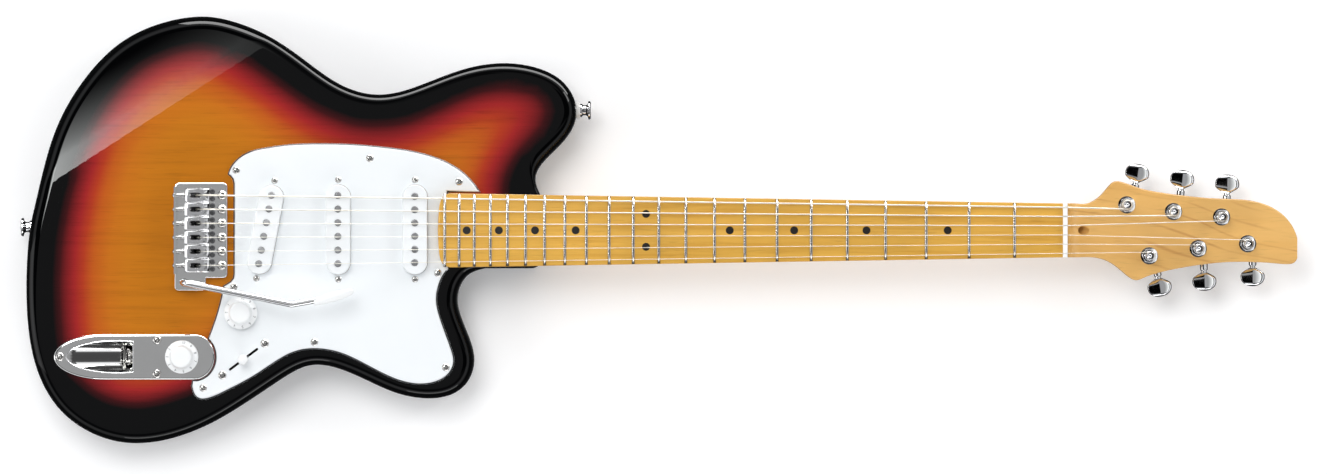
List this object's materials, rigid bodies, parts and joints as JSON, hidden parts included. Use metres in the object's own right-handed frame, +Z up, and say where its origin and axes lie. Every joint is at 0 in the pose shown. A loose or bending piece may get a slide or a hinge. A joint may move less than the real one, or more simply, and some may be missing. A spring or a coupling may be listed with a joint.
{
  "type": "electric guitar",
  "caption": "Solid-body electric guitar with offset waist, sunburst body, maple neck, tremolo bridge and arm, single-coil pickups and tuners on both sides of the headstock.",
  "frame": {"origin": "centre of the footprint's box on the plane of the body's flat back, with the guitar lying on its back", "axes": "+X along the neck towards the headstock, +Y across the strings towards the bass side, +Z up out of the body's face"},
  "size_m": [0.9664, 0.323, 0.0738],
  "materials": {
    "sunburst_lacquer": "gloss three-tone sunburst lacquer",
    "maple": "satin-gloss aged maple",
    "maple_board": "gloss aged maple",
    "fret_wire": "polished nickel silver",
    "black_inlay": "satin",
    "bone": "satin",
    "steel": "satin",
    "chrome": "polished",
    "nickel": "polished",
    "guard_plastic": "gloss three-ply",
    "white_plastic": "satin-gloss",
    "knob_plastic": "satin-gloss",
    "cover_plastic": "gloss",
    "black_plastic": "matte",
    "magnet_steel": "ground",
    "spring_steel": "bright",
    "string_wire": "bright wound and plain",
    "block_steel": "satin",
    "washer_plastic": "satin"
  },
  "bodies": {
    "guitar": {"body": "sunburst_lacquer", "neck": "maple", "fretboard": "maple_board", "frets": "fret_wire", "fret_markers": "black_inlay", "nut": "bone", "truss_rod": "steel", "neck_ferrules": "chrome", "neck_screws": "chrome", "pickguard": "guard_plastic", "pickguard_screws": "nickel", "neck_pickup_cover": "white_plastic", "middle_pickup_cover": "white_plastic", "bridge_pickup_cover": "white_plastic", "pickup_coils": "black_plastic", "pole_pieces": "magnet_steel", "pickup_screws": "nickel", "volume_pot": "steel", "tone_pot": "steel", "selector_switch": "steel", "jack_plate": "chrome", "jack_plate_screws": "nickel", "jack_socket": "nickel", "pivot_screws": "nickel", "spring_claw": "steel", "claw_screws": "nickel", "tremolo_springs": "spring_steel", "tremolo_cover": "cover_plastic", "cover_screws": "nickel", "strings": "string_wire", "strap_buttons": "chrome", "strap_washer": "washer_plastic", "tuner_housings": "chrome", "tuner_bushings": "chrome", "tuner_screws": "nickel"},
    "bridge": {"bridge_plate": "chrome", "saddles": "nickel", "saddle_height_screws": "steel", "intonation_screws": "nickel", "intonation_springs": "spring_steel", "tremolo_block": "block_steel", "string_ends": "string_wire"},
    "arm": {"tremolo_arm": "chrome", "arm_tip": "knob_plastic"},
    "volume": {"volume_knob": "knob_plastic"},
    "tone": {"tone_knob": "knob_plastic"},
    "switch": {"switch_lever": "steel", "switch_tip": "knob_plastic"},
    "post_1": {"tuner_post_1": "chrome"},
    "button_1": {"tuner_button_1": "chrome"},
    "post_2": {"tuner_post_2": "chrome"},
    "button_2": {"tuner_button_2": "chrome"},
    "post_3": {"tuner_post_3": "chrome"},
    "button_3": {"tuner_button_3": "chrome"},
    "post_4": {"tuner_post_4": "chrome"},
    "button_4": {"tuner_button_4": "chrome"},
    "post_5": {"tuner_post_5": "chrome"},
    "button_5": {"tuner_button_5": "chrome"},
    "post_6": {"tuner_post_6": "chrome"},
    "button_6": {"tuner_button_6": "chrome"}
  },
  "joints": [
    {"name": "bridge_tilt", "type": "hinge", "parent": "guitar", "child": "bridge", "pos_m": [-0.32964, -0.0005, 0.047], "axis": [0, 1, 0], "range_deg": [-2.5, 8], "stiffness_Nm_per_rad": 12, "deforming": ["strings", "tremolo_springs"]},
    {"name": "arm_swing", "type": "hinge", "parent": "bridge", "child": "arm", "pos_m": [-0.35844, -0.0398, 0.047], "axis": [0, 0, 1], "range_deg": [-170, 0]},
    {"name": "volume_turn", "type": "hinge", "parent": "guitar", "child": "volume", "pos_m": [-0.31554, -0.0626, 0.0473], "axis": [0, 0, 1], "range_deg": [0, 280]},
    {"name": "tone_turn", "type": "hinge", "parent": "guitar", "child": "tone", "pos_m": [-0.36014, -0.0961, 0.0466], "axis": [0, 0, 1], "range_deg": [0, 280]},
    {"name": "switch_throw", "type": "hinge", "parent": "guitar", "child": "switch", "pos_m": [-0.31354, -0.0979, 0.028], "axis": [-0.6004, 0.7997, 0], "range_deg": [-22, 22]},
    {"name": "button_spin_1", "type": "hinge", "parent": "guitar", "child": "button_1", "pos_m": [0.3586, 0.01797, 0.025], "axis": [0.1564, 0.9877, 0], "continuous": true},
    {"name": "post_turn_1", "type": "hinge", "parent": "guitar", "child": "post_1", "pos_m": [0.35336, 0.0188, 0.046], "axis": [0, 0, 1], "continuous": true},
    {"name": "button_spin_2", "type": "hinge", "parent": "guitar", "child": "button_2", "pos_m": [0.39393, 0.01315, 0.025], "axis": [0.1045, 0.9945, 0], "continuous": true},
    {"name": "post_turn_2", "type": "hinge", "parent": "guitar", "child": "post_2", "pos_m": [0.38866, 0.0137, 0.046], "axis": [0, 0, 1], "continuous": true},
    {"name": "button_spin_3", "type": "hinge", "parent": "guitar", "child": "button_3", "pos_m": [0.43026, 0.00951, 0.025], "axis": [0.0175, 0.9998, 0], "continuous": true},
    {"name": "post_turn_3", "type": "hinge", "parent": "guitar", "child": "post_3", "pos_m": [0.42496, 0.0096, 0.046], "axis": [0, 0, 1], "continuous": true},
    {"name": "button_spin_4", "type": "hinge", "parent": "guitar", "child": "button_4", "pos_m": [0.44996, -0.0106, 0.025], "axis": [0, -1, 0], "continuous": true},
    {"name": "post_turn_4", "type": "hinge", "parent": "guitar", "child": "post_4", "pos_m": [0.44466, -0.0106, 0.046], "axis": [0, 0, 1], "continuous": true},
    {"name": "button_spin_5", "type": "hinge", "parent": "guitar", "child": "button_5", "pos_m": [0.41256, -0.01412, 0.025], "axis": [0.0349, -0.9994, 0], "continuous": true},
    {"name": "post_turn_5", "type": "hinge", "parent": "guitar", "child": "post_5", "pos_m": [0.40726, -0.0143, 0.046], "axis": [0, 0, 1], "continuous": true},
    {"name": "button_spin_6", "type": "hinge", "parent": "guitar", "child": "button_6", "pos_m": [0.3756, -0.01887, 0.025], "axis": [0.1564, -0.9877, 0], "continuous": true},
    {"name": "post_turn_6", "type": "hinge", "parent": "guitar", "child": "post_6", "pos_m": [0.37036, -0.0197, 0.046], "axis": [0, 0, 1], "continuous": true}
  ],
  "couplings": [
    {"joint": "post_turn_1", "follows": "button_spin_1", "ratio": 0.066667},
    {"joint": "post_turn_2", "follows": "button_spin_2", "ratio": 0.066667},
    {"joint": "post_turn_3", "follows": "button_spin_3", "ratio": 0.066667},
    {"joint": "post_turn_4", "follows": "button_spin_4", "ratio": -0.066667},
    {"joint": "post_turn_5", "follows": "button_spin_5", "ratio": -0.066667},
    {"joint": "post_turn_6", "follows": "button_spin_6", "ratio": -0.066667}
  ]
}
